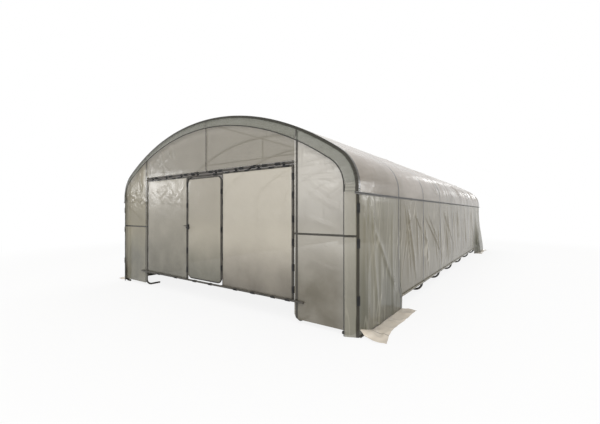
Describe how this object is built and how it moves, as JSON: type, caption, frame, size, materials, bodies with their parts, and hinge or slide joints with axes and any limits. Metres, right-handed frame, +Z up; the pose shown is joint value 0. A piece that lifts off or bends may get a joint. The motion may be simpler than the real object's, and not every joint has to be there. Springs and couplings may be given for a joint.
{
  "type": "polytunnel greenhouse",
  "caption": "Clear film polytunnel greenhouse on bent tube hoops, with a top-hung lifting gable panel, a standard door in it and roll-up sides.",
  "frame": {"origin": "on the ground under the middle of the tunnel", "axes": "+Z up, the front gable with the lifting panel and door faces -Y, +X is to the right seen from the front, the ridge runs along Y"},
  "size_m": [6.7492, 12.28, 3.2841],
  "materials": {
    "hoops": "dark olive, satin",
    "frame_tubes": "dark olive, satin",
    "panel_tubes": "dark olive, satin",
    "lock_rail": "dark grey, satin",
    "fittings": "black, matt",
    "rope": "dark braided cord",
    "roof_film": "clear film, glossy and slightly hazy",
    "wall_film": "clear film, glossy and slightly hazy",
    "panel_film": "clear film, glossy and slightly hazy"
  },
  "bodies": {
    "tunnel": {"hoop_front": "hoops", "hoop_2": "hoops", "hoop_3": "hoops", "hoop_4": "hoops", "hoop_5": "hoops", "hoop_6": "hoops", "hoop_7": "hoops", "hoop_8": "hoops", "hoop_back": "hoops", "ridge_purlin": "frame_tubes", "purlin_clamps": "fittings", "collar_ties": "frame_tubes", "king_posts": "frame_tubes", "wind_braces": "frame_tubes", "gable_posts": "frame_tubes", "back_posts": "frame_tubes", "gable_side_rails": "frame_tubes", "back_rails": "frame_tubes", "gable_header": "frame_tubes", "gable_king_posts": "frame_tubes", "lock_rails": "lock_rail", "roller_bars": "lock_rail", "hem_rails": "frame_tubes", "roof_cover": "roof_film", "cover_drawn_edges": "roof_film", "side_curtain_left": "wall_film", "side_curtain_right": "wall_film", "end_sheets_left": "wall_film", "end_sheets_right": "wall_film", "ground_skirts": "wall_film", "gable_side_films": "wall_film", "gable_top_film": "wall_film", "back_film": "wall_film", "tension_ropes": "rope"},
    "lifting_panel": {"panel_stiles": "panel_tubes", "panel_rails": "panel_tubes", "panel_bottom_bar": "panel_tubes", "door_posts": "panel_tubes", "bar_clamps": "fittings", "panel_straps": "fittings", "panel_films": "panel_film", "door_hinge_pins": "fittings"},
    "door": {"door_frame": "panel_tubes", "door_film": "panel_film", "door_latch": "fittings", "door_hinge_barrels": "fittings"}
  },
  "joints": [
    {"name": "panel_lift", "type": "hinge", "parent": "tunnel", "child": "lifting_panel", "pos_m": [0, -6.005, 2.33], "axis": [-1, 0, 0], "range_deg": [0, 80]},
    {"name": "door_swing", "type": "hinge", "parent": "lifting_panel", "child": "door", "pos_m": [0.4275, -6.03, 1.29], "axis": [0, 0, 1], "range_deg": [0, 100]}
  ]
}
